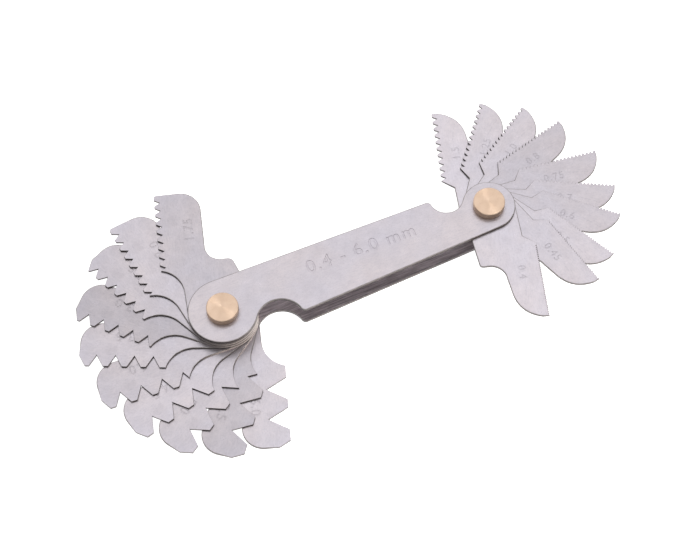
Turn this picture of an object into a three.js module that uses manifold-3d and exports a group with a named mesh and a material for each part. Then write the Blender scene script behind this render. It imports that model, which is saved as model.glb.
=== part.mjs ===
// Folding screw-thread pitch gauge for metric 60-degree threads, in millimetres, +Z up.
// Two steel covers are held apart by two brass rivets. Ten coarse blades turn on the left rivet
// and ten fine blades turn on the right one, each in its own layer, and all of them fold into
// the open case between the covers. The origin is on the underside of the bottom cover, midway
// between the rivets, and +X runs from the coarse end to the fine end.
import * as THREE from 'three';
import { mergeVertices } from 'three/addons/utils/BufferGeometryUtils.js';
import Module from 'manifold-3d';

const wasm = await Module();
wasm.setup();

// Case
const PIVOT_DISTANCE = 54.7;
const COVER_THICKNESS = 0.6;
const COARSE_HUB_RADIUS = 6.5;
const FINE_HUB_RADIUS = 5.05;
const COARSE_NOTCH_RADIUS = 4.6;
const FINE_NOTCH_RADIUS = 3.25;
const NOTCH_ANGLE = THREE.MathUtils.degToRad(35.5);
const NOTCH_CORNER_RADIUS = 0.9;

// Rivets
const SHANK_RADIUS = 1.5;
const HEAD_RADIUS = 3.0;
const HEAD_HEIGHT = 1.5;
const HEAD_CHAMFER = 0.12;
const TAIL_RADIUS = 2.2;
const SHANK_CLEARANCE = 0.05;
const SEAT_GAP = 0.02;

// Blades, ten to a fan
const BLADE_THICKNESS = 0.4;
const LAYER_GAP = 0.03;
const FLANK_ANGLE = THREE.MathUtils.degToRad(60);
const TOOTH_DEPTH_PER_PITCH = 0.63;
const CURVE_SEGMENTS = 6;
const ROUND_SEGMENTS = 24;
const LATHE_SEGMENTS = 32;
const CUTTER_MARGIN = 1;

// Each fan from its top layer to its bottom layer: pitch, and the direction of the toothed edge
// in degrees from +X. A blade's frame has the pivot at its origin, x along the toothed edge
// towards the tip, and y towards the teeth.
const COARSE_BLADES = [
  { pitch: 1.75, heading: 73.5 },
  { pitch: 2.0, heading: 95.4 },
  { pitch: 2.5, heading: 113.3 },
  { pitch: 3.0, heading: 134.9 },
  { pitch: 3.5, heading: 154.5 },
  { pitch: 4.0, heading: 175.3 },
  { pitch: 4.5, heading: 194 },
  { pitch: 5.0, heading: 212.5 },
  { pitch: 5.5, heading: 232.2 },
  { pitch: 6.0, heading: 250.8 },
];
const FINE_BLADES = [
  { pitch: 0.4, heading: -107 },
  { pitch: 0.45, heading: -78.5 },
  { pitch: 0.5, heading: -64 },
  { pitch: 0.6, heading: -43.5 },
  { pitch: 0.7, heading: -28.5 },
  { pitch: 0.75, heading: -9 },
  { pitch: 0.8, heading: 13.2 },
  { pitch: 1.0, heading: 31 },
  { pitch: 1.25, heading: 50 },
  { pitch: 1.5, heading: 72.3 },
];

const COARSE_BLANK = {
  hubRadius: COARSE_HUB_RADIUS,
  crestHeight: 10.8,
  tipX: 26.2,
  firstRootInPitches: 0.93,
  lastRootX: 9.9,
  cornerBreak: 0.6,
  tipLandX: 25.0,
};
const FINE_BLANK = {
  hubRadius: FINE_HUB_RADIUS,
  crestHeight: 7.75,
  tipX: 24.1,
  firstRootInPitches: 0.85,
  lastRootX: 9.0,
};

const GAP_HEIGHT = COARSE_BLADES.length * (BLADE_THICKNESS + LAYER_GAP);
const TOP_COVER_Z = COVER_THICKNESS + GAP_HEIGHT;
const CASE_HEIGHT = TOP_COVER_Z + COVER_THICKNESS;

const STEEL = { color: 0xcdc8ca, roughness: 0.42, metalness: 0.9 };
const BRASS = { color: 0xd8b074, roughness: 0.3, metalness: 0.95 };

function toSolid(geometry) {
  const bare = geometry.clone();
  bare.deleteAttribute('normal');
  bare.deleteAttribute('uv');
  const merged = mergeVertices(bare);
  return new wasm.Manifold(new wasm.Mesh({
    numProp: 3,
    vertProperties: new Float32Array(merged.attributes.position.array),
    triVerts: new Uint32Array(merged.index.array),
  }));
}

function toGeometry(solid) {
  const mesh = solid.getMesh();
  const geometry = new THREE.BufferGeometry();
  geometry.setAttribute('position', new THREE.BufferAttribute(mesh.vertProperties, 3));
  geometry.setIndex(new THREE.BufferAttribute(mesh.triVerts, 1));
  geometry.computeVertexNormals();
  return geometry;
}

function plate(shape, thickness, z = 0) {
  const geometry = new THREE.ExtrudeGeometry(shape, {
    depth: thickness,
    bevelEnabled: false,
    curveSegments: CURVE_SEGMENTS,
  });
  return geometry.translate(0, 0, z);
}

// A round hole whose flats, and not only its corners, clear the given radius.
function roundHole(x, radius) {
  const cornerRadius = radius / Math.cos(Math.PI / ROUND_SEGMENTS);
  const circle = new THREE.EllipseCurve(x, 0, cornerRadius, cornerRadius);
  return new THREE.Path(circle.getPoints(ROUND_SEGMENTS));
}

// Where the tangent from an outside point touches a circle about the origin, as an angle.
// side is +1 for the touching point anticlockwise of the point's own direction, -1 for clockwise.
function tangentAngle(point, radius, side) {
  return Math.atan2(point.y, point.x) + side * Math.acos(radius / point.length());
}

// One end of a cover: the round hub, then the finger notch, tangent to the hub, then the
// rounded corner where the notch meets the long edge. turn is 0 at the coarse end and half a
// turn at the fine end, where the notch is on the other long edge.
function addCoverEnd(shape, pivotX, turn, radius, otherRadius, notchRadius) {
  const taper = Math.asin((radius - otherRadius) / PIVOT_DISTANCE);
  const pivot = new THREE.Vector2(pivotX, 0);
  const place = (point) => point.clone().rotateAround(new THREE.Vector2(), turn).add(pivot);

  const edgeNormal = new THREE.Vector2(Math.sin(taper), -Math.cos(taper));
  const edgeDirection = new THREE.Vector2(Math.cos(taper), Math.sin(taper));
  const notchCentre = new THREE.Vector2(Math.cos(NOTCH_ANGLE), -Math.sin(NOTCH_ANGLE))
    .multiplyScalar(radius + notchRadius);
  const inset = radius - NOTCH_CORNER_RADIUS;
  const across = inset - notchCentre.dot(edgeNormal);
  const reach = Math.sqrt((notchRadius + NOTCH_CORNER_RADIUS) ** 2 - across ** 2);
  const cornerCentre = edgeNormal.clone().multiplyScalar(inset)
    .addScaledVector(edgeDirection, notchCentre.dot(edgeDirection) + reach);
  const toCorner = cornerCentre.clone().sub(notchCentre);
  const meetingAngle = Math.atan2(toCorner.y, toCorner.x);

  const notch = place(notchCentre);
  const corner = place(cornerCentre);
  shape.absarc(pivotX, 0, radius, turn + Math.PI / 2 - taper, turn - NOTCH_ANGLE, false);
  shape.absarc(notch.x, notch.y, notchRadius, turn + Math.PI - NOTCH_ANGLE, turn + meetingAngle, true);
  shape.absarc(corner.x, corner.y, NOTCH_CORNER_RADIUS, turn + meetingAngle + Math.PI,
    turn - Math.PI / 2 + taper, false);
}

function coverShape() {
  const shape = new THREE.Shape();
  addCoverEnd(shape, -PIVOT_DISTANCE / 2, 0, COARSE_HUB_RADIUS, FINE_HUB_RADIUS, COARSE_NOTCH_RADIUS);
  addCoverEnd(shape, PIVOT_DISTANCE / 2, Math.PI, FINE_HUB_RADIUS, COARSE_HUB_RADIUS, FINE_NOTCH_RADIUS);
  shape.closePath();
  for (const x of [-PIVOT_DISTANCE / 2, PIVOT_DISTANCE / 2]) {
    shape.holes.push(roundHole(x, SHANK_RADIUS + SEAT_GAP));
  }
  return shape;
}

// The bottom cover is countersunk for the rivet tails, which end flush with its underside.
function countersunkCover() {
  let solid = toSolid(plate(coverShape(), COVER_THICKNESS));
  for (const x of [-PIVOT_DISTANCE / 2, PIVOT_DISTANCE / 2]) {
    const slope = (TAIL_RADIUS - SHANK_RADIUS) / COVER_THICKNESS;
    const profile = [
      new THREE.Vector2(0, -CUTTER_MARGIN),
      new THREE.Vector2(TAIL_RADIUS + SEAT_GAP * 2 + slope * CUTTER_MARGIN, -CUTTER_MARGIN),
      new THREE.Vector2(SHANK_RADIUS + SEAT_GAP * 2, COVER_THICKNESS),
      new THREE.Vector2(SHANK_RADIUS + SEAT_GAP * 2, COVER_THICKNESS + CUTTER_MARGIN),
      new THREE.Vector2(0, COVER_THICKNESS + CUTTER_MARGIN),
    ];
    solid = solid.subtract(toSolid(lathe(profile).translate(x, 0, 0)));
  }
  return toGeometry(solid);
}

// A profile of (radius, height) points turned about the Z axis.
function lathe(profile) {
  return new THREE.LatheGeometry(profile, LATHE_SEGMENTS).rotateX(Math.PI / 2);
}

function rivetGeometry() {
  const headSeat = CASE_HEIGHT + SEAT_GAP;
  const headTop = CASE_HEIGHT + HEAD_HEIGHT;
  return lathe([
    new THREE.Vector2(0, 0),
    new THREE.Vector2(TAIL_RADIUS, 0),
    new THREE.Vector2(SHANK_RADIUS, COVER_THICKNESS),
    new THREE.Vector2(SHANK_RADIUS, headSeat),
    new THREE.Vector2(HEAD_RADIUS, headSeat),
    new THREE.Vector2(HEAD_RADIUS, headTop - HEAD_CHAMFER),
    new THREE.Vector2(HEAD_RADIUS - HEAD_CHAMFER, headTop),
    new THREE.Vector2(0, headTop),
  ]);
}

// The untoothed outline of a coarse blade: a deep round scoop between hub and teeth, a broad
// round tip, and a finger scoop with a lug on the back. Fine pitches have a small broken corner
// at the tip, and pitches from 2.5 mm end in half a tooth space.
function coarseOutline(pitch) {
  const { hubRadius, crestHeight, tipX, cornerBreak, tipLandX } = COARSE_BLANK;
  const backHeight = 2.05;
  const tipRadius = 4.05;
  const scoopCentre = new THREE.Vector2(4.8, 12.1);
  const scoopRadius = 5.4;
  const fingerRadius = 2.9;
  const lugX = 11.1;
  const lug = new THREE.Vector2(lugX, -2.75);
  const lugRound = 0.9;

  const scoopSlant = Math.acos((hubRadius + scoopRadius) / scoopCentre.length());
  const scoopNormal = Math.atan2(scoopCentre.y, scoopCentre.x) + scoopSlant;
  const scoopEnd = -Math.asin((scoopCentre.y - crestHeight) / scoopRadius);
  const lugTangent = tangentAngle(lug, hubRadius, -1);
  const lugSlope = lug.clone().sub(onCircle(hubRadius, lugTangent)).normalize();

  const shape = new THREE.Shape();
  shape.absarc(0, 0, hubRadius, scoopNormal, lugTangent + 2 * Math.PI, false);
  shape.lineTo(lug.x - lugRound * lugSlope.x, lug.y - lugRound * lugSlope.y);
  shape.quadraticCurveTo(lug.x, lug.y, lug.x, lug.y + lugRound);
  shape.absarc(lugX + fingerRadius, backHeight - fingerRadius, fingerRadius, Math.PI, Math.PI / 2, true);
  shape.absarc(tipX - tipRadius, backHeight + tipRadius, tipRadius, -Math.PI / 2, 0, false);
  if (pitch < 2.5) {
    shape.lineTo(tipX, crestHeight - cornerBreak);
    shape.quadraticCurveTo(tipX, crestHeight, tipX - cornerBreak, crestHeight);
  } else {
    shape.lineTo(tipX, crestHeight - (tipX - tipLandX) * Math.tan(FLANK_ANGLE));
    shape.lineTo(tipLandX, crestHeight);
  }
  shape.absarc(scoopCentre.x, scoopCentre.y, scoopRadius, scoopEnd, scoopNormal - Math.PI, true);
  shape.closePath();
  return shape;
}

// The untoothed outline of a fine blade: a slanted shoulder between neck and teeth, a
// knife-like tip, and a finger scoop with a lug on the back.
function fineOutline() {
  const { hubRadius, crestHeight, tipX } = FINE_BLANK;
  const tipHeight = 6.6;
  const bellyControl = new THREE.Vector2(23.0, 2.2);
  const bellyEnd = new THREE.Vector2(18.5, 1.6);
  const backHeight = 1.15;
  const fingerRadius = 2.95;
  const lugX = 12.65;
  const lug = new THREE.Vector2(lugX, -3.5);
  const lugRound = 0.7;
  const neckEnd = new THREE.Vector2(7.0, 5.4);
  const shoulderX = 8.75;

  const neckTangent = tangentAngle(neckEnd, hubRadius, 1);
  const lugTangent = tangentAngle(lug, hubRadius, -1);
  const lugSlope = lug.clone().sub(onCircle(hubRadius, lugTangent)).normalize();

  const shape = new THREE.Shape();
  shape.absarc(0, 0, hubRadius, neckTangent, lugTangent + 2 * Math.PI, false);
  shape.lineTo(lug.x - lugRound * lugSlope.x, lug.y - lugRound * lugSlope.y);
  shape.quadraticCurveTo(lug.x, lug.y, lug.x, lug.y + lugRound);
  shape.absarc(lugX + fingerRadius, backHeight - fingerRadius, fingerRadius, Math.PI, Math.PI / 2, true);
  shape.lineTo(bellyEnd.x, bellyEnd.y);
  shape.quadraticCurveTo(bellyControl.x, bellyControl.y, tipX, tipHeight);
  shape.lineTo(tipX, crestHeight);
  shape.lineTo(shoulderX, crestHeight);
  shape.lineTo(neckEnd.x, neckEnd.y);
  shape.closePath();
  return shape;
}

function onCircle(radius, angle) {
  return new THREE.Vector2(radius * Math.cos(angle), radius * Math.sin(angle));
}

// The comb that cuts the tooth spaces: one V of 60 degrees for each pitch, from the tip inwards,
// joined above the crest line.
function toothCutter(pitch, blank) {
  const depth = TOOTH_DEPTH_PER_PITCH * pitch;
  const rise = CUTTER_MARGIN / 2;
  const halfMouth = (depth + rise) / Math.tan(FLANK_ANGLE);
  const firstRoot = blank.tipX - blank.firstRootInPitches * pitch;
  const spaces = Math.floor((firstRoot - blank.lastRootX) / pitch) + 1;
  const cutters = [];
  for (let i = 0; i < spaces; i += 1) {
    const root = firstRoot - i * pitch;
    const space = new THREE.Shape([
      new THREE.Vector2(root, blank.crestHeight - depth),
      new THREE.Vector2(root + halfMouth, blank.crestHeight + rise),
      new THREE.Vector2(root - halfMouth, blank.crestHeight + rise),
    ]);
    cutters.push(toSolid(plate(space, BLADE_THICKNESS + 2 * CUTTER_MARGIN, -CUTTER_MARGIN)));
  }
  return cutters.reduce((joined, cutter) => joined.add(cutter));
}

function bladeGeometry(outline, pitch, blank) {
  outline.holes.push(roundHole(0, SHANK_RADIUS + SHANK_CLEARANCE));
  const solid = toSolid(plate(outline, BLADE_THICKNESS));
  return toGeometry(solid.subtract(toothCutter(pitch, blank)));
}

function part(name, geometry, look) {
  const mesh = new THREE.Mesh(geometry, new THREE.MeshStandardMaterial(look));
  mesh.name = name;
  return mesh;
}

// A fan of blades on one rivet, stacked down from just under the top cover.
function fan(pivotX, blades, makeGeometry) {
  const group = new THREE.Group();
  group.position.x = pivotX;
  blades.forEach(({ pitch, heading }, layer) => {
    const label = pitch.toFixed(2).replace('.', '_');
    const blade = part(`blade_${label}mm`, makeGeometry(pitch), STEEL);
    blade.position.z = TOP_COVER_Z - (layer + 1) * (BLADE_THICKNESS + LAYER_GAP) + LAYER_GAP / 2;
    blade.rotation.z = THREE.MathUtils.degToRad(heading);
    group.add(blade);
  });
  return group;
}

const gauge = new THREE.Group();
gauge.add(part('bottom_cover', countersunkCover(), STEEL));
gauge.add(part('top_cover', plate(coverShape(), COVER_THICKNESS, TOP_COVER_Z), STEEL));
gauge.add(part('coarse_rivet', rivetGeometry().translate(-PIVOT_DISTANCE / 2, 0, 0), BRASS));
gauge.add(part('fine_rivet', rivetGeometry().translate(PIVOT_DISTANCE / 2, 0, 0), BRASS));
gauge.add(fan(-PIVOT_DISTANCE / 2, COARSE_BLADES,
  (pitch) => bladeGeometry(coarseOutline(pitch), pitch, COARSE_BLANK)));
gauge.add(fan(PIVOT_DISTANCE / 2, FINE_BLADES,
  (pitch) => bladeGeometry(fineOutline(), pitch, FINE_BLANK)));

export default gauge;
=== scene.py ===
"""Looks of the folding screw-thread pitch gauge: satin steel blades and covers, turned brass rivets.

Every CAD node is replaced by a finer mesh of the same size, built from the same dimensions in
millimetres: smooth arcs, broken edges, engraved pitch numbers and turned rivet heads. A blade's
own frame has the pivot at its origin, x along the toothed edge and y towards the teeth.
"""

import math

import bpy
import numpy
from mathutils import Matrix, Vector
from mathutils.geometry import delaunay_2d_cdt


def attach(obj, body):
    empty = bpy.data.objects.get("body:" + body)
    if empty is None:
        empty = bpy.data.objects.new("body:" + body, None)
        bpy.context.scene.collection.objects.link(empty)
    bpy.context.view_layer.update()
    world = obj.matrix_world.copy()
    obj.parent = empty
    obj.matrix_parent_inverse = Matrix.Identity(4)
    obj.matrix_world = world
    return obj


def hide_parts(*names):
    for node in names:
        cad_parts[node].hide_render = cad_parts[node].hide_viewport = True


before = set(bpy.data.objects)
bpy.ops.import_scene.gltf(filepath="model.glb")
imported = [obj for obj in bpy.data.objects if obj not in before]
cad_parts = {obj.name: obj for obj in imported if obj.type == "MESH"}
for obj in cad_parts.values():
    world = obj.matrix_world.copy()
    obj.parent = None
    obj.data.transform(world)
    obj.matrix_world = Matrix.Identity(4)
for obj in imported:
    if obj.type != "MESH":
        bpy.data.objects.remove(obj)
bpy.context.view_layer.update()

MM = 0.001

# Case, in millimetres
PIVOT_DISTANCE = 54.7
COARSE_X = -PIVOT_DISTANCE / 2
FINE_X = PIVOT_DISTANCE / 2
COVER_THICKNESS = 0.6
COARSE_HUB_RADIUS = 6.5
FINE_HUB_RADIUS = 5.05
COARSE_NOTCH_RADIUS = 4.6
FINE_NOTCH_RADIUS = 3.25
NOTCH_ANGLE = math.radians(35.5)
NOTCH_CORNER_RADIUS = 0.9

# Rivets
SHANK_RADIUS = 1.5
HEAD_RADIUS = 3.0
HEAD_HEIGHT = 1.5
HEAD_FILLET = 0.14
TAIL_RADIUS = 2.2
SHANK_CLEARANCE = 0.05
SEAT_GAP = 0.02

# Blades
BLADE_COUNT = 10
BLADE_THICKNESS = 0.4
LAYER_GAP = 0.03
FLANK_SLOPE = math.tan(math.radians(60))
TOOTH_DEPTH_PER_PITCH = 0.63
GAP_HEIGHT = BLADE_COUNT * (BLADE_THICKNESS + LAYER_GAP)
TOP_COVER_Z = COVER_THICKNESS + GAP_HEIGHT
CASE_HEIGHT = TOP_COVER_Z + COVER_THICKNESS

COARSE_CREST = 10.8
COARSE_TIP_X = 26.2
FINE_CREST = 7.75
FINE_TIP_X = 24.1
# From this pitch up, a coarse blade ends in half a tooth space and not in a plain corner
HALF_SPACE_TIP_PITCH = 2.5

# Each fan from its top layer down: pitch, and direction of the toothed edge in degrees
COARSE_FAN = [(1.75, 73.5), (2.0, 95.4), (2.5, 113.3), (3.0, 134.9), (3.5, 154.5),
              (4.0, 175.3), (4.5, 194), (5.0, 212.5), (5.5, 232.2), (6.0, 250.8)]
FINE_FAN = [(0.4, -107), (0.45, -78.5), (0.5, -64), (0.6, -43.5), (0.7, -28.5),
            (0.75, -9), (0.8, 13.2), (1.0, 31), (1.25, 50), (1.5, 72.3)]

# Mesh fineness
ARC_TOLERANCE = 0.0012
MIN_SPACING = 1e-4
MERGE_DISTANCE = 1e-6
RIVET_SEGMENTS = 128
PLATE_SMOOTH_ANGLE = math.radians(8)
RIVET_SMOOTH_ANGLE = math.radians(28)

# Punched sheet: the upper edges are rolled over a little, the lower ones just broken. Teeth keep
# only a share of the roll, and no corner moves further than its short sides allow
EDGE_ROLL = 0.14
EDGE_DROP = 0.1
ROLL_STEPS = 3
SHARP_SHARE = 0.3
LOWER_BREAK = 0.02
SHORT_SIDE_SHARE = 0.8

# Engraving. A blade's number stands in the blade's own frame
ENGRAVING_SLOPE = 0.05
LETTER_SPACING = 1.15
LETTER_CURVE_STEPS = 5
COVER_TEXT = "0.4 - 6.0 mm"
COVER_TEXT_SIZE = 3.7
COVER_TEXT_PLACE = (1.3, 1.3)
COVER_TEXT_TURN = math.radians(-2.2)
COVER_TEXT_DEPTH = 0.07
COARSE_NUMBER_SIZE = 2.6
COARSE_NUMBER_PLACE = (18.0, 4.7)
FINE_NUMBER_SIZE = 2.1
FINE_NUMBER_PLACE = (14.6, 4.1)
NUMBER_DEPTH = 0.022

# Camera: turned about Z, then tilted from straight down. The offset is the place of the case
# top's middle in the camera's frame, in millimetres
CAMERA_YAW = math.radians(23.56)
CAMERA_TILT = math.radians(-26.72)
CAMERA_ROLL = math.radians(0.42)
CAMERA_OFFSET = Vector((1.428, 4.317, -358.6))
CAMERA_LENS = 98.2
SENSOR_WIDTH = 36


# ---------------------------------------------------------------- outlines, in millimetres

def polar(radius, angle):
    return Vector((radius * math.cos(angle), radius * math.sin(angle)))


def arc(centre, radius, start, end):
    """Points on a circle from one angle to another, fine enough to look round."""
    step = 2 * math.acos(1 - ARC_TOLERANCE / radius)
    count = max(3, math.ceil(abs(end - start) / step))
    angles = [start + (end - start) * i / count for i in range(count + 1)]
    return [Vector(centre) + polar(radius, angle) for angle in angles]


def quadratic(start, control, end, count):
    """Points on the curve from start to end that heads for the control point at both ends."""
    points = []
    for i in range(count + 1):
        t = i / count
        points.append(start * (1 - t) ** 2 + control * 2 * t * (1 - t) + end * t ** 2)
    return points


def without_doubles(points):
    return [point for i, point in enumerate(points) if (point - points[i - 1]).length > MIN_SPACING]


def tangent_angle(point, radius, side):
    """Where on a circle about the origin a tangent through the point touches it, on side 1 or -1."""
    return math.atan2(point.y, point.x) + side * math.acos(radius / point.length)


def cover_end(pivot_x, turn, radius, other_radius, notch_radius):
    """The hub, the finger notch and the corner at one end; turn is 0 or half a turn."""
    taper = math.asin((radius - other_radius) / PIVOT_DISTANCE)
    edge_normal = Vector((math.sin(taper), -math.cos(taper)))
    edge_direction = Vector((math.cos(taper), math.sin(taper)))
    notch_centre = polar(radius + notch_radius, -NOTCH_ANGLE)
    inset = radius - NOTCH_CORNER_RADIUS
    across = inset - notch_centre.dot(edge_normal)
    reach = math.sqrt((notch_radius + NOTCH_CORNER_RADIUS) ** 2 - across ** 2)
    corner_centre = edge_normal * inset + edge_direction * (notch_centre.dot(edge_direction) + reach)
    to_corner = corner_centre - notch_centre
    meeting = math.atan2(to_corner.y, to_corner.x)
    points = arc((0, 0), radius, math.pi / 2 - taper, 2 * math.pi - NOTCH_ANGLE)
    points += arc(notch_centre, notch_radius, math.pi - NOTCH_ANGLE, meeting)
    points += arc(corner_centre, NOTCH_CORNER_RADIUS, meeting - math.pi, taper - math.pi / 2)
    rotation = Matrix.Rotation(turn, 2)
    return [rotation @ point + Vector((pivot_x, 0)) for point in points]


def cover_outline():
    coarse_end = cover_end(COARSE_X, 0, COARSE_HUB_RADIUS, FINE_HUB_RADIUS, COARSE_NOTCH_RADIUS)
    fine_end = cover_end(FINE_X, math.pi, FINE_HUB_RADIUS, COARSE_HUB_RADIUS, FINE_NOTCH_RADIUS)
    return without_doubles(coarse_end + fine_end)


def lug_and_scoop(hub_radius, lug, lug_round, finger_radius, back_height):
    """From the hub along the tangent to the lug, round its corner and up the finger scoop."""
    touch = polar(hub_radius, tangent_angle(lug, hub_radius, -1))
    slope = (lug - touch).normalized()
    corner_end = Vector((lug.x, lug.y + lug_round))
    scoop_centre = (lug.x + finger_radius, back_height - finger_radius)
    points = quadratic(lug - slope * lug_round, lug, corner_end, count=8)
    return points + arc(scoop_centre, finger_radius, math.pi, math.pi / 2)


def coarse_outline(pitch):
    back_height = 2.05
    tip_radius = 4.05
    scoop_centre = Vector((4.8, 12.1))
    scoop_radius = 5.4
    lug = Vector((11.1, -2.75))
    lug_round = 0.9
    finger_radius = 2.9
    corner = Vector((COARSE_TIP_X, COARSE_CREST))
    corner_break = 0.6
    tip_land_x = 25.0
    first_root = COARSE_TIP_X - 0.93 * pitch
    last_root = 9.9

    scoop_slant = math.acos((COARSE_HUB_RADIUS + scoop_radius) / scoop_centre.length)
    scoop_normal = math.atan2(scoop_centre.y, scoop_centre.x) + scoop_slant
    scoop_end = -math.asin((scoop_centre.y - COARSE_CREST) / scoop_radius)
    hub_end = tangent_angle(lug, COARSE_HUB_RADIUS, -1) + 2 * math.pi
    tip_centre = (COARSE_TIP_X - tip_radius, back_height + tip_radius)
    scoop = arc(scoop_centre, scoop_radius, scoop_end, scoop_normal - math.pi)

    points = arc((0, 0), COARSE_HUB_RADIUS, scoop_normal, hub_end)
    points += lug_and_scoop(COARSE_HUB_RADIUS, lug, lug_round, finger_radius, back_height)
    points += arc(tip_centre, tip_radius, -math.pi / 2, 0)
    if pitch < HALF_SPACE_TIP_PITCH:
        down = corner - Vector((0, corner_break))
        along = corner - Vector((corner_break, 0))
        points += quadratic(down, corner, along, count=6)
    else:
        points.append(corner - Vector((0, (COARSE_TIP_X - tip_land_x) * FLANK_SLOPE)))
        points.append(Vector((tip_land_x, COARSE_CREST)))
    roots = tooth_roots(pitch, first_root, last_root)
    points += [Vector((root, COARSE_CREST)) for root in roots if root > scoop[0].x]
    return cut_teeth(without_doubles(points + scoop), roots, pitch, COARSE_CREST)


def fine_outline(pitch):
    back_height = 1.15
    lug = Vector((12.65, -3.5))
    lug_round = 0.7
    finger_radius = 2.95
    belly_end = Vector((18.5, 1.6))
    belly_control = Vector((23.0, 2.2))
    tip_back = Vector((FINE_TIP_X, 6.6))
    neck_end = Vector((7.0, 5.4))
    shoulder = Vector((8.75, FINE_CREST))
    first_root = FINE_TIP_X - 0.85 * pitch
    last_root = 9.0

    hub_start = tangent_angle(neck_end, FINE_HUB_RADIUS, 1)
    hub_end = tangent_angle(lug, FINE_HUB_RADIUS, -1) + 2 * math.pi
    points = arc((0, 0), FINE_HUB_RADIUS, hub_start, hub_end)
    points += lug_and_scoop(FINE_HUB_RADIUS, lug, lug_round, finger_radius, back_height)
    points += quadratic(belly_end, belly_control, tip_back, count=28)
    points.append(Vector((FINE_TIP_X, FINE_CREST)))
    roots = tooth_roots(pitch, first_root, last_root)
    points += [Vector((root, FINE_CREST)) for root in roots]
    points += [shoulder, neck_end]
    return cut_teeth(without_doubles(points), roots, pitch, FINE_CREST)


def tooth_roots(pitch, first, last):
    count = math.floor((first - last) / pitch) + 1
    return [first - i * pitch for i in range(count)]


def height_in_gap(point, root, root_y):
    """How far a point lies above the two flanks that meet at the root."""
    return point.y - root_y - FLANK_SLOPE * abs(point.x - root)


def cut_teeth(outline, roots, pitch, crest):
    """Replaces what lies inside each 60-degree V by the two flanks that meet at its root."""
    root_y = crest - TOOTH_DEPTH_PER_PITCH * pitch
    for root in roots:
        heights = [height_in_gap(point, root, root_y) for point in outline]
        cut = []
        for i, point in enumerate(outline):
            before, height = heights[i - 1], heights[i]
            if (height > 0) != (before > 0):
                cut.append(outline[i - 1].lerp(point, before / (before - height)))
                if height > 0:
                    cut.append(Vector((root, root_y)))
            if height <= 0:
                cut.append(point)
        outline = without_doubles(cut)
    return outline


def moved_in(outline, distances):
    """The outline's points moved to its left, into the material, with mitred corners. They move
    less where a side at an outer corner is too short for it."""
    count = len(outline)
    sides = [outline[(i + 1) % count] - outline[i] for i in range(count)]
    normals = [Vector((-side.y, side.x)).normalized() for side in sides]
    # How much each corner shortens its two sides, for each millimetre that it moves in
    pulls = []
    for i in range(count):
        turn = math.atan2(normals[i - 1].cross(normals[i]), normals[i - 1].dot(normals[i]))
        pulls.append(max(0, math.tan(turn / 2)))
    reach = list(distances)
    for i, side in enumerate(sides):
        after = (i + 1) % count
        pull = pulls[i] + pulls[after]
        if pull:
            longest = SHORT_SIDE_SHARE * side.length / pull
            reach[i] = min(reach[i], longest)
            reach[after] = min(reach[after], longest)
    mitres = [(normals[i - 1] + normals[i]) / (1 + normals[i - 1].dot(normals[i])) for i in range(count)]
    return [point + mitre * distance for point, mitre, distance in zip(outline, mitres, reach)]


def text_mesh(text, size):
    """A line of text centred on the origin, as a flat mesh."""
    curve = bpy.data.curves.new("lettering", "FONT")
    curve.body = text
    curve.size = size
    curve.align_x = "CENTER"
    curve.align_y = "CENTER"
    curve.space_character = LETTER_SPACING
    curve.resolution_u = LETTER_CURVE_STEPS
    letters = bpy.data.objects.new("lettering", curve)
    bpy.context.scene.collection.objects.link(letters)
    bpy.context.view_layer.update()
    evaluated = letters.evaluated_get(bpy.context.evaluated_depsgraph_get())
    mesh = bpy.data.meshes.new_from_object(evaluated)
    bpy.data.objects.remove(letters)
    return mesh


def lettering(text, size, place, turn=0):
    """The outlines of a line of text centred on a point, in millimetres, strokes on their left."""
    filled = text_mesh(text, size)
    corner_of = [(round(vertex.co.x, 5), round(vertex.co.y, 5)) for vertex in filled.vertices]
    sides = []
    for polygon in filled.polygons:
        corners = [corner_of[i] for i in polygon.vertices]
        if polygon.normal.z < 0:
            corners.reverse()
        sides += zip(corners, corners[1:] + corners[:1])
    known = set(sides)
    # A side that no neighbour shares is on the outline
    following = {start: end for start, end in sides if (end, start) not in known}
    onto_plate = Matrix.Rotation(turn, 2)
    loops = []
    while following:
        first, corner = following.popitem()
        loop = [first]
        while corner != first:
            loop.append(corner)
            corner = following.pop(corner)
        loops.append([onto_plate @ Vector(corner) + Vector(place) for corner in loop])
    return loops


# ---------------------------------------------------------------- meshes, in metres

# Looks: places in a plate's list of materials
FACE, EDGE, RIM, INSIDE = 0, 1, 2, 3


def inside(points, loop):
    """Which of the points lie inside the closed loop."""
    start = numpy.array([tuple(corner) for corner in loop])
    end = numpy.roll(start, -1, axis=0)
    x, y = points[:, :1], points[:, 1:]
    spans = (start[:, 1] > y) != (end[:, 1] > y)
    rise = numpy.where(end[:, 1] == start[:, 1], 1, end[:, 1] - start[:, 1])
    meets = start[:, 0] + (y - start[:, 1]) * (end[:, 0] - start[:, 0]) / rise
    return (spans & (x < meets)).sum(axis=1) % 2 == 1


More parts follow.
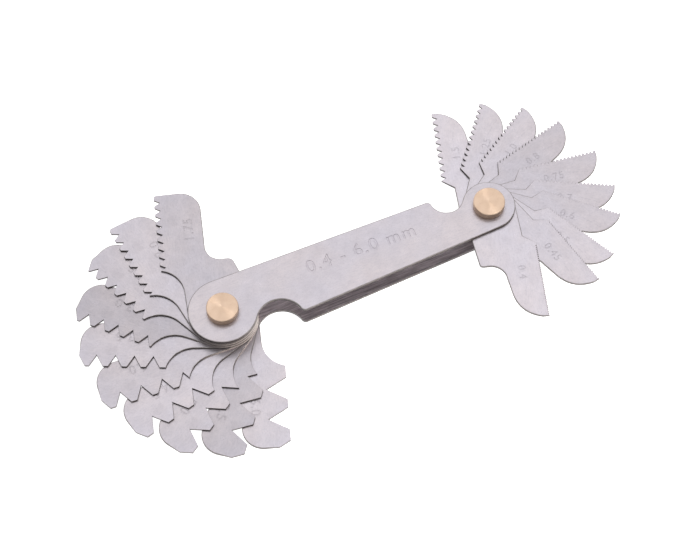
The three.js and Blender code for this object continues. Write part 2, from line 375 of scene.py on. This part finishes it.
def fill(outer, holes, letters):
    """Triangles over the flat between an outline and its holes, anticlockwise, as indices into
    all the loops' points in order, and whether each lies inside a letter's stroke."""
    loops = [outer, *holes, *letters]
    points = [point for loop in loops for point in loop]
    sides = []
    for loop in loops:
        first = len(sides)
        sides += [(first + i, first + (i + 1) % len(loop)) for i in range(len(loop))]
    corners, _, triangles, sources, _, _ = delaunay_2d_cdt(points, sides, [], 0, MERGE_DISTANCE)
    middles = numpy.array([tuple(sum((corners[i] for i in triangle), Vector((0, 0))) / 3)
                           for triangle in triangles])
    kept = inside(middles, outer)
    for hole in holes:
        kept &= ~inside(middles, hole)
    stroke = numpy.zeros(len(middles), bool)
    for letter in letters:
        stroke ^= inside(middles, letter)
    filled = []
    for triangle, is_kept, in_stroke in zip(triangles, kept, stroke):
        if not is_kept:
            continue
        a, b, c = (corners[i] for i in triangle)
        ordered = triangle if (b - a).cross(c - a) > 0 else triangle[::-1]
        filled.append(([sources[i][0] for i in ordered], bool(in_stroke)))
    return filled


def edge_levels(thickness):
    """The rings up a plate's side: height, distance inside the outline, and the look above it."""
    levels = [(0, LOWER_BREAK, RIM), (LOWER_BREAK, 0, EDGE)]
    for i in range(ROLL_STEPS + 1):
        angle = math.pi / 2 * i / ROLL_STEPS
        height = thickness - EDGE_DROP * (1 - math.sin(angle))
        levels.append((height, EDGE_ROLL * (1 - math.cos(angle)), RIM))
    return levels


def hole_rings(x, radius, countersink, thickness, levels):
    """A hole's ring at each level. They run clockwise, so the material is on their left."""
    count = len(arc((0, 0), radius, 0, 2 * math.pi)) - 1
    directions = [polar(1, -2 * math.pi * i / count) for i in range(count)]
    if countersink:
        widths = [radius + countersink * (1 - z / thickness) for z, _, _ in levels]
    else:
        widths = [radius + min(inset, LOWER_BREAK) for _, inset, _ in levels]
    return [[Vector((x, 0)) + direction * width for direction in directions] for width in widths]


def plate_mesh(name, outline, thickness, holes, countersink=0, looks_of_faces=(FACE, FACE),
               letters=(), depth=0, sharp_above=math.inf):
    """A punched plate. holes lists (x, radius), and countersink widens them towards the underside.
    looks_of_faces are those of the lower and the upper face. letters are sunk into the upper one
    by depth. Where y is above sharp_above, the edge keeps most of its sharpness."""
    levels = edge_levels(thickness)
    shares = [SHARP_SHARE if point.y > sharp_above else 1 for point in outline]
    rings = [[moved_in(outline, [inset * share for share in shares]) for _, inset, _ in levels]]
    rings += [hole_rings(x, radius, countersink, thickness, levels) for x, radius in holes]

    vertices, faces, looks = [], [], []

    def add_points(points, z):
        start = len(vertices)
        vertices.extend((point.x * MM, point.y * MM, z * MM) for point in points)
        return list(range(start, len(vertices)))

    def add_band(lower, upper, look):
        for i in range(len(lower)):
            after = (i + 1) % len(lower)
            faces.append((lower[i], lower[after], upper[after], upper[i]))
            looks.append(look)

    bottom, top = [], []
    for ring in rings:
        rows = [add_points(points, z) for points, (z, _, _) in zip(ring, levels)]
        for lower, upper, (_, _, look) in zip(rows, rows[1:], levels):
            add_band(lower, upper, look)
        bottom += rows[0]
        top += rows[-1]
    # The points of the letters' floors, in the order of top. The rim and the holes have none there
    floor = [None] * len(top)
    for letter in letters:
        brink = add_points(letter, thickness)
        sunk = add_points(moved_in(letter, [ENGRAVING_SLOPE] * len(letter)), thickness - depth)
        add_band(brink, sunk, FACE)
        top += brink
        floor += sunk
    for triangle, in_stroke in fill(rings[0][-1], [ring[-1] for ring in rings[1:]], letters):
        level = floor if in_stroke else top
        faces.append([level[i] for i in triangle])
        looks.append(FACE if in_stroke else looks_of_faces[1])
    for triangle, _ in fill(rings[0][0], [ring[0] for ring in rings[1:]], []):
        faces.append([bottom[i] for i in reversed(triangle)])
        looks.append(looks_of_faces[0])

    mesh = bpy.data.meshes.new(name)
    mesh.from_pydata(vertices, [], faces)
    mesh.polygons.foreach_set("material_index", looks)
    mesh.update()
    return mesh


def lathe_mesh(name, profile):
    """A closed (radius, height) profile in millimetres turned about Z."""
    vertices, faces = [], []
    rows = []
    for radius, z in profile:
        if radius == 0:
            rows.append([len(vertices)])
            vertices.append((0, 0, z * MM))
            continue
        rows.append(list(range(len(vertices), len(vertices) + RIVET_SEGMENTS)))
        for i in range(RIVET_SEGMENTS):
            point = polar(radius, 2 * math.pi * i / RIVET_SEGMENTS)
            vertices.append((point.x * MM, point.y * MM, z * MM))
    for below, above in zip(rows, rows[1:]):
        for i in range(RIVET_SEGMENTS):
            following = (i + 1) % RIVET_SEGMENTS
            if len(below) == 1:
                faces.append((below[0], above[following], above[i]))
            elif len(above) == 1:
                faces.append((below[i], below[following], above[0]))
            else:
                faces.append((below[i], below[following], above[following], above[i]))
    mesh = bpy.data.meshes.new(name)
    mesh.from_pydata(vertices, [], faces)
    mesh.update()
    return mesh


def rivet_profile():
    """Flush countersunk tail, shank, and a flat head whose face keeps its turning marks."""
    head_top = CASE_HEIGHT + HEAD_HEIGHT
    seat = CASE_HEIGHT + SEAT_GAP
    face_radius = HEAD_RADIUS - HEAD_FILLET
    fillet_steps = 6
    groove_spacing = 0.22
    groove_depth = 0.003
    face_steps = 60
    dimple_depth = 0.012

    # The tail's flat is a little hollow, and the head's lower edge is just broken
    profile = [(0, 0.03), (0.5, 0.028), (1.1, 0.02), (1.8, 0.006), (2.1, 0), (TAIL_RADIUS, 0.02)]
    profile += [(SHANK_RADIUS, COVER_THICKNESS), (SHANK_RADIUS, seat)]
    profile += [(HEAD_RADIUS - 0.06, seat), (HEAD_RADIUS - 0.015, seat + 0.02)]
    profile.append((HEAD_RADIUS, seat + 0.08))
    for i in range(fillet_steps + 1):
        angle = math.pi / 2 * i / fillet_steps
        profile.append((face_radius + HEAD_FILLET * math.cos(angle),
                        head_top - HEAD_FILLET + HEAD_FILLET * math.sin(angle)))
    for i in range(1, face_steps):
        radius = face_radius * (1 - i / face_steps)
        wave = 0.5 - 0.5 * math.cos(2 * math.pi * (face_radius - radius) / groove_spacing)
        profile.append((radius, head_top - groove_depth * wave))
    profile.append((0, head_top - dimple_depth))
    return profile


# ---------------------------------------------------------------- materials

COOL_STEEL = (0.545, 0.52, 0.575)
WARM_STEEL = (0.585, 0.535, 0.555)
ROLLED_STEEL_DARK = (0.40, 0.368, 0.385)
ROLLED_STEEL_LIGHT = (0.84, 0.785, 0.81)
ROLLED_STEEL_RUBBED = (0.32, 0.295, 0.305)
BREAK_DARK = (0.022, 0.017, 0.017)
BREAK_LIGHT = (0.055, 0.045, 0.044)
BREAK_PATCH = (0.018, 0.014, 0.014)
BURNISH = (0.075, 0.064, 0.06)
# Painted highlight: the paler edge tones painted round a blade's pivot, for the lit hub stack
HUB_SHEEN_EDGE_DARK = (0.088, 0.074, 0.071)
HUB_SHEEN_EDGE_LIGHT = (0.195, 0.167, 0.155)
RIM_DARK = (0.30, 0.278, 0.272)
RIM_LIGHT = (0.42, 0.392, 0.387)
BRASS_LIGHT = (0.74, 0.56, 0.428)
BRASS_DARK = (0.69, 0.508, 0.375)
BRASS_SPECK = (0.50, 0.33, 0.19)
FLOOR_DARK = (0.58, 0.58, 0.58)
FLOOR_LIGHT = (0.62, 0.62, 0.62)

# Painted highlight: a blade's edge is painted paler up to the first distance from its pivot, for the lit
# hub stack, and fades out at the second
HUB_SHEEN_REACH = (7.5, 9.5)


def material(name, metallic, anisotropic=0.0, rotation=0.0):
    """A material with a Principled shader, and functions that add a node and join it to the shader."""
    made = bpy.data.materials.new(name)
    made.use_nodes = True
    tree = made.node_tree
    shader = tree.nodes["Principled BSDF"]
    shader.inputs["Metallic"].default_value = metallic
    shader.inputs["Anisotropic"].default_value = anisotropic
    shader.inputs["Anisotropic Rotation"].default_value = rotation

    def node(kind, values=(), **settings):
        added = tree.nodes.new(kind)
        for key, value in settings.items():
            setattr(added, key, value)
        for key, value in dict(values).items():
            if isinstance(value, bpy.types.NodeSocket):
                tree.links.new(value, added.inputs[key])
            else:
                added.inputs[key].default_value = value
        return added

    def join(output, socket):
        tree.links.new(output, shader.inputs[socket])

    return made, node, join


def noise(node, vector, scale, detail=3.0, roughness=0.55, stretch=(1, 1, 1)):
    """Noise from 0 to 1. Scale times stretch is about how many grains it has in a metre."""
    mapping = node("ShaderNodeMapping", {"Vector": vector, "Scale": stretch})
    made = node("ShaderNodeTexNoise", {"Vector": mapping.outputs[0], "Scale": scale,
                                       "Detail": detail, "Roughness": roughness})
    return made.outputs[0]


def remap(node, value, low, high, to_low, to_high):
    """The value carried from one range to another, and kept within it."""
    made = node("ShaderNodeMapRange", {"Value": value, "From Min": low, "From Max": high,
                                       "To Min": to_low, "To Max": to_high})
    return made.outputs[0]


def combine(node, a, b, operation="ADD"):
    return node("ShaderNodeMath", {0: a, 1: b}, operation=operation).outputs[0]


def mixed(node, factor, first, second):
    """A blend of two colours. Each is a colour or another node's output."""
    made = node("ShaderNodeMix", data_type="RGBA")
    links = made.id_data.links
    links.new(factor, made.inputs[0])
    colour_inputs = [socket for socket in made.inputs if socket.type == "RGBA"]
    for socket, value in zip(colour_inputs, (first, second)):
        if isinstance(value, bpy.types.NodeSocket):
            links.new(value, socket)
        else:
            socket.default_value = (*value, 1)
    return next(socket for socket in made.outputs if socket.type == "RGBA")


def scaled(colour, factor):
    return tuple(factor * channel for channel in colour)


def steel_face(name, cool, warm):
    """Satin ground sheet steel: fine lengthwise grain, soft stains and a few hairline scratches."""
    made, node, join = material(name, 1.0)
    place = node("ShaderNodeTexCoord").outputs["Object"]
    grain = noise(node, place, 1.0, detail=3.0, roughness=0.65, stretch=(1100, 4200, 4200))
    speckle = noise(node, place, 3600, detail=2.0, roughness=0.6)
    mottling = noise(node, place, 420, detail=5.0, roughness=0.62)
    stains = noise(node, place, 75, detail=3.0, roughness=0.5)
    scratch = noise(node, place, 1.0, detail=2.0, roughness=0.5, stretch=(90, 3800, 90))
    hairline = remap(node, scratch, 0.70, 0.76, 0, 1)

    tint = mixed(node, remap(node, stains, 0.35, 0.65, 0, 1), cool, warm)
    darker = mixed(node, remap(node, mottling, 0.35, 0.7, 0, 0.25), tint, scaled(warm, 0.75))
    lined = mixed(node, remap(node, grain, 0.35, 0.65, 0, 0.35), darker, scaled(cool, 0.8))
    spotted = mixed(node, remap(node, speckle, 0.5, 0.75, 0, 0.45), lined, scaled(cool, 0.72))
    join(spotted, "Base Color")

    base = remap(node, mottling, 0.3, 0.7, 0.29, 0.38)
    worked = combine(node, base, remap(node, grain, 0.3, 0.7, -0.04, 0.04))
    join(combine(node, worked, remap(node, hairline, 0, 1, 0, -0.07)), "Roughness")

    relief = combine(node, grain, combine(node, hairline, -0.6, "MULTIPLY"))
    relief = combine(node, relief, combine(node, speckle, 0.6, "MULTIPLY"))
    bump = node("ShaderNodeBump", {"Height": relief, "Strength": 0.8, "Distance": 8e-6})
    join(bump.outputs[0], "Normal")
    return made


def inside_steel(name):
    """The rolled inner face of a cover: darker, with long rolling marks and rub marks."""
    made, node, join = material(name, 1.0)
    place = node("ShaderNodeTexCoord").outputs["Object"]
    rolling = noise(node, place, 1.0, detail=4.0, roughness=0.7, stretch=(140, 3600, 3600))
    rubbing = noise(node, place, 260, detail=4.0, roughness=0.6)
    lines = remap(node, rolling, 0.38, 0.62, 0, 1)
    rubbed = remap(node, rubbing, 0.45, 0.75, 0, 0.5)
    tone = mixed(node, lines, ROLLED_STEEL_DARK, ROLLED_STEEL_LIGHT)
    join(mixed(node, rubbed, tone, ROLLED_STEEL_RUBBED), "Base Color")
    join(remap(node, rolling, 0.3, 0.7, 0.32, 0.50), "Roughness")
    bump = node("ShaderNodeBump", {"Height": rolling, "Strength": 0.8, "Distance": 1e-5})
    join(bump.outputs[0], "Normal")
    return made


def sheared_edge(name, thickness, hub_sheen_tone=0.0):
    """The sheet's punched side: a smoother burnished band on top, and below it a dark, rough
    break with streaks across the thickness. With a hub sheen tone, the edge round a blade's
    pivot is painted paler by that brightness, a painted highlight for the lit hub stack."""
    made, node, join = material(name, 0.0)
    place = node("ShaderNodeTexCoord").outputs["Object"]
    streaks = noise(node, place, 1.0, detail=3.0, roughness=0.6, stretch=(7000, 7000, 900))
    patches = noise(node, place, 420, detail=3.0, roughness=0.55)
    streaked = remap(node, streaks, 0.3, 0.7, 0, 1)
    patched = remap(node, patches, 0.45, 0.75, 0, 0.5)
    broken = mixed(node, patched, mixed(node, streaked, BREAK_DARK, BREAK_LIGHT), BREAK_PATCH)

    raggedness = 0.1 * thickness * MM
    height = node("ShaderNodeSeparateXYZ", {"Vector": place}).outputs[2]
    ragged = combine(node, height, remap(node, streaks, 0.3, 0.7, -raggedness, raggedness))
    burnish = remap(node, ragged, 0.62 * thickness * MM, 0.72 * thickness * MM, 0, 1)
    tone = mixed(node, burnish, broken, BURNISH)
    # Painted highlight: near the pivot the edge takes the paler painted hub tones in place of its own
    if hub_sheen_tone:
        dark, light = scaled(HUB_SHEEN_EDGE_DARK, hub_sheen_tone), scaled(HUB_SHEEN_EDGE_LIGHT, hub_sheen_tone)
        start, end = HUB_SHEEN_REACH
        distance = node("ShaderNodeVectorMath", {0: place}, operation="LENGTH").outputs["Value"]
        near = remap(node, distance, start * MM, end * MM, 1, 0)
        tone = mixed(node, near, tone, mixed(node, streaked, dark, light))
    join(tone, "Base Color")
    join(remap(node, burnish, 0, 1, 0.6, 0.42), "Roughness")
    bump = node("ShaderNodeBump", {"Height": streaks, "Strength": 0.6, "Distance": 6e-6})
    join(bump.outputs[0], "Normal")
    return made


def steel_rim(name):
    """The rolled and broken edges between face and side, rubbed in places by handling."""
    made, node, join = material(name, 1.0)
    place = node("ShaderNodeTexCoord").outputs["Object"]
    wear = noise(node, place, 900, detail=4.0, roughness=0.6)
    join(mixed(node, remap(node, wear, 0.4, 0.65, 0, 1), RIM_DARK, RIM_LIGHT), "Base Color")
    join(remap(node, wear, 0.4, 0.65, 0.5, 0.4), "Roughness")
    bump = node("ShaderNodeBump", {"Height": wear, "Strength": 0.3, "Distance": 6e-6})
    join(bump.outputs[0], "Normal")
    return made


def turned_brass(name):
    """Brass turned on a lathe: rings about the rivet's axis, and a fan-shaped shine."""
    made, node, join = material(name, 1.0, anisotropic=0.85, rotation=0.25)
    place = node("ShaderNodeTexCoord").outputs["Object"]
    wave = {"Vector": place, "Scale": 1700, "Distortion": 0.6, "Detail": 2.0, "Detail Scale": 600}
    rings = node("ShaderNodeTexWave", wave, wave_type="RINGS", rings_direction="Z").outputs[1]
    mottling = noise(node, place, 700, detail=4.0, roughness=0.6)
    specks = noise(node, place, 5200, detail=2.0, roughness=0.5)
    tone = mixed(node, remap(node, mottling, 0.3, 0.7, 0, 1), BRASS_LIGHT, BRASS_DARK)
    join(mixed(node, remap(node, specks, 0.6, 0.8, 0, 0.3), tone, BRASS_SPECK), "Base Color")
    dullness = remap(node, mottling, 0.3, 0.7, 0.33, 0.37)
    join(combine(node, dullness, remap(node, rings, 0, 1, -0.03, 0.03)), "Roughness")
    tangent = node("ShaderNodeTangent", direction_type="RADIAL", axis="Z")
    join(tangent.outputs[0], "Tangent")
    bump = node("ShaderNodeBump", {"Height": rings, "Strength": 0.5, "Distance": 5e-6})
    join(bump.outputs[0], "Normal")
    return made


def floor_material():
    """A matt white that gives off some light itself, as a lit backdrop does."""
    made, node, join = material("studio_floor", 0.0)
    place = node("ShaderNodeTexCoord").outputs["Object"]
    tone = noise(node, place, 3, detail=2.0)
    join(mixed(node, tone, FLOOR_DARK, FLOOR_LIGHT), "Base Color")
    join(remap(node, tone, 0, 1, 0.85, 0.9), "Roughness")
    shader = made.node_tree.nodes["Principled BSDF"]
    shader.inputs["Emission Color"].default_value = (1, 1, 1, 1)
    shader.inputs["Emission Strength"].default_value = 0.9
    return made


# ---------------------------------------------------------------- pieces

# Painted light: each blade's brightness stands in for how its slight tilt catches the light, from the
# top layer down
COARSE_TILT_SHADES = (0.92, 1.0, 0.95, 0.83, 0.98, 0.96, 1.03, 0.97, 0.88, 1.03)
FINE_TILT_SHADES = (1.06, 1.01, 1.03, 0.96, 0.97, 0.95, 0.93, 1.02, 1.04, 1.1)
# Painted light and shade: the edge brightness round the pivot alternates between lit and shaded layers,
# drawing the stack's layer lines
LIT_LAYER_EDGE = 2.0
SHADED_LAYER_EDGE = 0.35

COVER_EDGE = sheared_edge("sheared_cover_edge", COVER_THICKNESS)
RIM_STEEL = steel_rim("rubbed_steel_rim")
COVER_STEEL = steel_face("satin_cover_steel", COOL_STEEL, WARM_STEEL)
COVER_INSIDE = inside_steel("rolled_cover_inside")
BRASS = turned_brass("turned_brass")


def new_piece(name, mesh, materials, where, body, stands_for):
    """Puts a mesh in place of a CAD node, on the body that it moves with."""
    piece = bpy.data.objects.new(name, mesh)
    for each in materials:
        mesh.materials.append(each)
    piece.matrix_world = where
    bpy.context.scene.collection.objects.link(piece)
    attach(piece, body)
    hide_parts(stands_for)


def smooth(mesh, angle):
    mesh.shade_smooth()
    mesh.set_sharp_from_angle(angle=angle)


def make_cover(name, cad_node, z, hole_radius, countersink, looks_of_faces, letters):
    holes = [(x, hole_radius) for x in (COARSE_X, FINE_X)]
    mesh = plate_mesh(name, cover_outline(), COVER_THICKNESS, holes, countersink, looks_of_faces,
                      letters, COVER_TEXT_DEPTH)
    smooth(mesh, PLATE_SMOOTH_ANGLE)
    new_piece(name, mesh, [COVER_STEEL, COVER_EDGE, RIM_STEEL, COVER_INSIDE],
              Matrix.Translation((0, 0, z * MM)), "case", cad_node)


def make_blade(pivot_x, layer, pitch, heading, tone, outline, crest, number_size, number_place):
    cad_node = f"blade_{pitch:.2f}mm".replace(".", "_")
    # One decimal, or two where the pitch has them
    number = f"{pitch:.2f}" if pitch * 10 % 1 else f"{pitch:.1f}"
    mesh = plate_mesh(cad_node, outline(pitch), BLADE_THICKNESS, [(0, SHANK_RADIUS + SHANK_CLEARANCE)],
                      letters=lettering(number, number_size, number_place), depth=NUMBER_DEPTH,
                      sharp_above=crest - TOOTH_DEPTH_PER_PITCH * pitch - EDGE_ROLL)
    smooth(mesh, PLATE_SMOOTH_ANGLE)
    # The face colour is scaled by the blade's painted tilt shade
    face = steel_face(f"satin_{cad_node}", scaled(COOL_STEEL, tone), scaled(WARM_STEEL, tone))
    # Every other layer's edge is painted lit, the rest painted shaded
    edge = sheared_edge(f"sheared_{cad_node}", BLADE_THICKNESS, LIT_LAYER_EDGE if layer % 2 else SHADED_LAYER_EDGE)
    z = TOP_COVER_Z - (layer + 1) * (BLADE_THICKNESS + LAYER_GAP) + LAYER_GAP / 2
    turned = Matrix.Rotation(math.radians(heading), 4, "Z")
    new_piece(f"steel_{cad_node}", mesh, [face, edge, RIM_STEEL],
              Matrix.Translation((pivot_x * MM, 0, z * MM)) @ turned, cad_node, cad_node)


def make_fan(pivot_x, fan, tilt_shades, outline, crest, number_size, number_place):
    for layer, ((pitch, heading), tone) in enumerate(zip(fan, tilt_shades)):
        make_blade(pivot_x, layer, pitch, heading, tone, outline, crest, number_size, number_place)


def make_rivet(name, cad_node, x):
    mesh = lathe_mesh(name, rivet_profile())
    smooth(mesh, RIVET_SMOOTH_ANGLE)
    new_piece(name, mesh, [BRASS], Matrix.Translation((x * MM, 0, 0)), "case", cad_node)


make_cover("steel_bottom_cover", "bottom_cover", z=0, hole_radius=SHANK_RADIUS + 2 * SEAT_GAP,
           countersink=TAIL_RADIUS - SHANK_RADIUS, looks_of_faces=(FACE, INSIDE), letters=())
make_cover("steel_top_cover", "top_cover", z=TOP_COVER_Z, hole_radius=SHANK_RADIUS + SEAT_GAP,
           countersink=0, looks_of_faces=(INSIDE, FACE),
           letters=lettering(COVER_TEXT, COVER_TEXT_SIZE, COVER_TEXT_PLACE, COVER_TEXT_TURN))
make_rivet("brass_coarse_rivet", "coarse_rivet", COARSE_X)
make_rivet("brass_fine_rivet", "fine_rivet", FINE_X)
make_fan(COARSE_X, COARSE_FAN, COARSE_TILT_SHADES, coarse_outline, COARSE_CREST,
         COARSE_NUMBER_SIZE, COARSE_NUMBER_PLACE)
make_fan(FINE_X, FINE_FAN, FINE_TILT_SHADES, fine_outline, FINE_CREST, FINE_NUMBER_SIZE, FINE_NUMBER_PLACE)


# ---------------------------------------------------------------- studio

def make_floor():
    """A square, a hair below the gauge, so that the two never share a plane."""
    half = 1.5
    z = -0.05 * MM
    mesh = bpy.data.meshes.new("studio_floor")
    corners = [(-half, -half, z), (half, -half, z), (half, half, z), (-half, half, z)]
    mesh.from_pydata(corners, [], [(0, 1, 2, 3)])
    mesh.materials.append(floor_material())
    floor = bpy.data.objects.new("studio_floor", mesh)
    bpy.context.scene.collection.objects.link(floor)


def make_light(name, place, size, power, colour=(1, 1, 1), mirrored=True):
    """A square soft box that faces the gauge. One that isn't mirrored gives no glossy highlights."""
    data = bpy.data.lights.new(name, "AREA")
    data.size = size
    data.energy = power
    data.color = colour
    lamp = bpy.data.objects.new(name, data)
    lamp.location = place
    lamp.visible_glossy = mirrored
    lamp.rotation_euler = (-Vector(place)).to_track_quat("-Z", "Y").to_euler()
    bpy.context.scene.collection.objects.link(lamp)


def make_camera():
    to_camera = (Matrix.Rotation(CAMERA_ROLL, 3, "Z") @ Matrix.Rotation(CAMERA_TILT, 3, "X")
                 @ Matrix.Rotation(CAMERA_YAW, 3, "Z"))
    to_world = to_camera.transposed()
    place = Vector((0, 0, CASE_HEIGHT)) - to_world @ CAMERA_OFFSET
    data = bpy.data.cameras.new("camera")
    data.lens = CAMERA_LENS
    data.sensor_width = SENSOR_WIDTH
    data.clip_start = 0.01
    data.clip_end = 10
    camera = bpy.data.objects.new("camera", data)
    camera.matrix_world = Matrix.Translation(place * MM) @ to_world.to_4x4()
    bpy.context.scene.collection.objects.link(camera)
    bpy.context.scene.camera = camera


def make_world():
    """A pale room, darker on the camera's side, towards -y."""
    world = bpy.data.worlds.new("studio")
    world.use_nodes = True
    nodes, links = world.node_tree.nodes, world.node_tree.links
    direction = nodes.new("ShaderNodeTexCoord").outputs["Generated"]
    parts = nodes.new("ShaderNodeSeparateXYZ")
    links.new(direction, parts.inputs[0])
    level = nodes.new("ShaderNodeMapRange")
    links.new(parts.outputs[1], level.inputs["Value"])
    brightness = {"From Min": -0.8, "From Max": 0.8, "To Min": 0.34, "To Max": 0.5}
    for key, value in brightness.items():
        level.inputs[key].default_value = value
    background = nodes["Background"]
    background.inputs[0].default_value = (1.0, 0.98, 0.98, 1)
    links.new(level.outputs[0], background.inputs[1])
    bpy.context.scene.world = world


make_floor()
make_light("overhead_softbox", place=(0.15, 0.45, 0.95), size=1.3, power=4.25)
make_light("top_spot", place=(0.25, 0.06, 0.91), size=0.2, power=0.38)
make_light("right_softbox", place=(0.8, -0.56, 0.33), size=0.5, power=30.0,
           colour=(1.0, 0.955, 0.9), mirrored=False)
make_camera()
make_world()
bpy.context.scene.view_settings.view_transform = "Standard"
